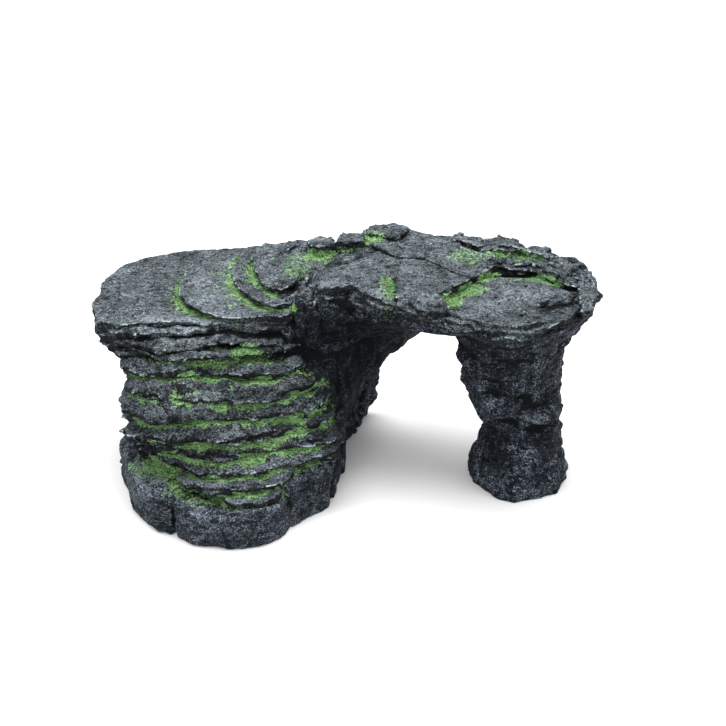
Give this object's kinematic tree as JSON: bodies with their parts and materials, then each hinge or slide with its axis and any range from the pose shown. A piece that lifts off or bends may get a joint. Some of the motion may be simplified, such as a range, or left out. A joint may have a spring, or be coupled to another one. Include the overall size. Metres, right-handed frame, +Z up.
{
  "type": "rock cave ornament",
  "caption": "Rock cave ornament for an aquarium or reptile tank: slate ramp up to an overhanging platform, broken slab bridge on a pillar, open passage under it, moss-painted.",
  "frame": {"origin": "centre of the footprint of the bounding box, on the surface that the ornament stands on", "axes": "+X from the ramp towards the pillar, along the longest side; +Z up; the ramp faces -Y"},
  "size_m": [0.2466, 0.1408, 0.114],
  "materials": {
    "slate": "matte",
    "dark_rock": "matte",
    "base_rock": "matte"
  },
  "bodies": {
    "root": {"body_core": "dark_rock", "plinth_left": "base_rock", "plinth_front": "base_rock", "plinth_right": "base_rock", "toe_slab": "slate", "ledge_01": "slate", "ledge_02": "slate", "ledge_03": "slate", "ledge_04": "slate", "ledge_05": "slate", "ledge_06": "slate", "ledge_07": "slate", "ledge_08": "slate", "ledge_09": "slate", "ledge_10": "slate", "platform_slab": "slate", "terrace_low": "slate", "terrace_mid": "slate", "terrace_high": "slate", "bridge_vault": "dark_rock", "slab_left": "slate", "slab_back": "slate", "slab_middle": "slate", "slab_basin": "slate", "rim_front": "slate", "rim_right": "slate", "ridge_back": "slate", "ridge_inner": "slate", "corner_block": "slate", "back_stone_a": "slate", "back_stone_b": "slate", "pillar_foot": "dark_rock", "pillar_shaft": "dark_rock", "shoulder_left": "dark_rock", "shoulder_right": "dark_rock", "pillar_capital": "dark_rock"}
  },
  "joints": []
}
